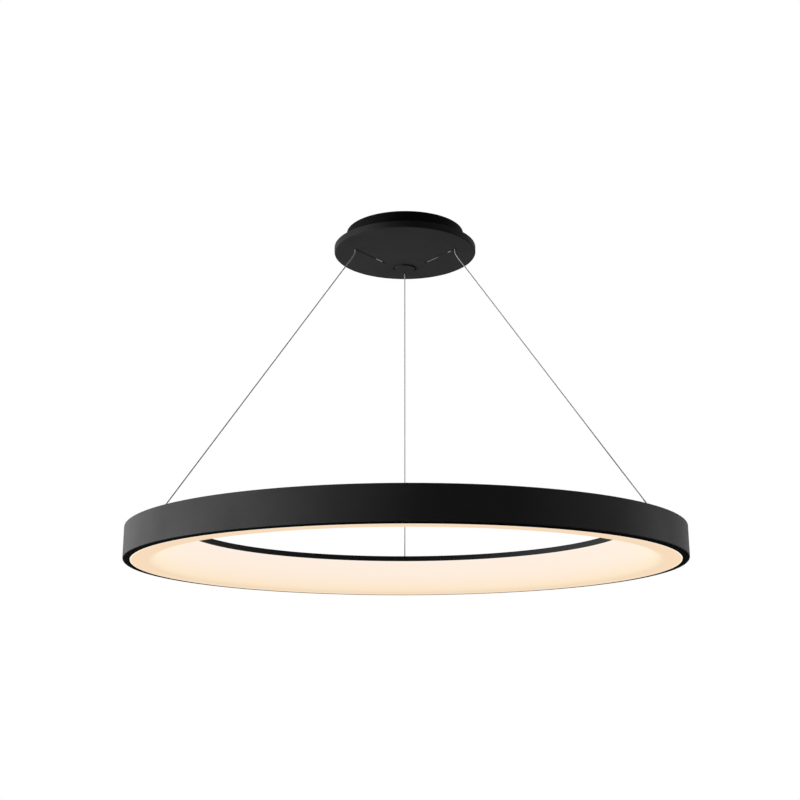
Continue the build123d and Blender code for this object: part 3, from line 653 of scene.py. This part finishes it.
def recesses(name, outlines, body):
    """Drive recesses, as closed plates of painted shade let into the screw heads; each outline has its
    way in.
    """
    shape = bmesh.new()
    for outline, inward in outlines:
        add_prism(shape, outline, [point + RECESS_DEPTH * inward for point in outline])
    add_piece(name, shape, RECESS, body)


def top_recesses():
    """Cross recesses in the screws of the ring's top."""
    arm = [(CROSS_REACH, -CROSS_HALF), (CROSS_REACH, CROSS_HALF), (CROSS_HALF, CROSS_HALF)]
    cross = []
    for quarter in range(4):
        cross += arm
        arm = [(-y, x) for x, y in arm]
    outlines = []
    for i, part in enumerate(loose_parts("top_screws")):
        middle = sum(part, Vector()) / len(part)
        top = max(point.z for point in part)
        turn = Matrix.Rotation(CROSS_TURN * i, 3, "Z")
        centre = Vector((middle.x, middle.y, top + RECESS_LIFT))
        outlines.append(([centre + turn @ Vector((x, y, 0.0)) for x, y in cross], -UP))
    recesses("top_recesses", outlines, "ring")


def side_recesses():
    """Hexagon sockets in the headless screws of the cover plate."""
    outlines = []
    for part in loose_parts("plate_screws"):
        middle = sum(part, Vector()) / len(part)
        out = Vector((middle.x, middle.y, 0.0)).normalized()
        side = Vector((-out.y, out.x, 0.0))
        face = max(point.dot(out) for point in part) + RECESS_LIFT
        centre = out * face + middle.z * UP
        corners = []
        for k in range(SOCKET_SIDES):
            angle = 2 * math.pi * k / SOCKET_SIDES
            corners.append(centre + SOCKET_R * (math.cos(angle) * side + math.sin(angle) * UP))
        outlines.append((corners, -out))
    recesses("side_recesses", outlines, "canopy")


def background_rays(tree):
    """One for rays from the camera, or by way of a mirror or glass, and nought for the rest."""
    rays = tree.nodes.new("ShaderNodeLightPath")
    total = rays.outputs["Is Camera Ray"]
    for name in ("Is Glossy Ray", "Is Transmission Ray"):
        larger = calculate(tree, "ShaderNodeMath", "MAXIMUM", total, rays.outputs[name])
        total = larger.outputs["Value"]
    return total


def floor():
    """Plain pale floor, well below the light, that keeps its shadow."""
    level = HOOP_LOW.z - FLOOR_DROP
    corners = [(-1, -1), (1, -1), (1, 1), (-1, 1)]
    mesh = bpy.data.meshes.new("studio_floor")
    mesh.from_pydata([(FLOOR_HALF * x, FLOOR_HALF * y, level) for x, y in corners], [], [(0, 1, 2, 3)])
    finish, tree, shader = material("floor_paint")
    mottle = noise(tree, FLOOR_SCALE, detail=2.0)
    whitening = spread(tree, radius_of(tree), FLOOR_GLOW, BACKDROP_LEVEL, FLOOR_NEAR, FLOOR_FAR)
    glow = calculate(tree, "ShaderNodeMath", "MULTIPLY", background_rays(tree), whitening)
    set_inputs(tree, shader, {
        "Base Color": shades(tree, mottle, grey(FLOOR_DARK), grey(FLOOR_LIGHT)),
        "Roughness": FLOOR_ROUGH,
        "Specular IOR Level": FLOOR_SPECULAR,
        "Emission Color": WHITE,
        "Emission Strength": glow.outputs["Value"],
    })
    mesh.materials.append(finish)
    link("studio_floor", mesh)


def world():
    """White behind everything that the camera sees, and a plain even light on the object."""
    made = bpy.data.worlds.new("studio")
    bpy.context.scene.world = made
    made.use_nodes = True
    tree = made.node_tree
    level = spread(tree, background_rays(tree), WORLD_LEVEL, BACKDROP_LEVEL, 0.0, 1.0)
    set_inputs(tree, tree.nodes["Background"], {"Color": WHITE, "Strength": level})


def softbox(name, place, size, power):
    """A soft area lamp, aimed at the middle of the ring, that the camera doesn't see."""
    lamp = bpy.data.lights.new(name, "AREA")
    lamp.shape = "RECTANGLE"
    lamp.size, lamp.size_y = size
    lamp.energy = power
    made = link(name, lamp)
    aim = Vector((0.0, 0.0, (HOOP_LOW.z + HOOP_HIGH.z) / 2))
    made.location = place
    made.rotation_euler = (aim - Vector(place)).to_track_quat("-Z", "Y").to_euler()
    made.visible_camera = False


def camera():
    """Camera below the ring, looking up at it, as the photograph was taken."""
    data = bpy.data.cameras.new("photo_camera")
    data.sensor_width = SENSOR_MM
    data.lens = FOCAL_PIXELS / PHOTO_SIZE * SENSOR_MM
    made = link("photo_camera", data)
    made.location = (CAMERA_X, -CAMERA_DISTANCE, HOOP_LOW.z - CAMERA_BELOW_RIM)
    made.rotation_mode = "XYZ"
    made.rotation_euler = (math.radians(90.0 + CAMERA_PITCH), math.radians(CAMERA_ROLL), 0.0)
    bpy.context.scene.camera = made


paint_nodes()
for side in EXITS:
    cable(side)
spring()
slit_edges()
top_recesses()
side_recesses()
floor()
world()
for name, (place, size, power) in SOFTBOXES.items():
    softbox(name, place, size, power)
camera()
bpy.context.scene.view_settings.view_transform = "Standard"
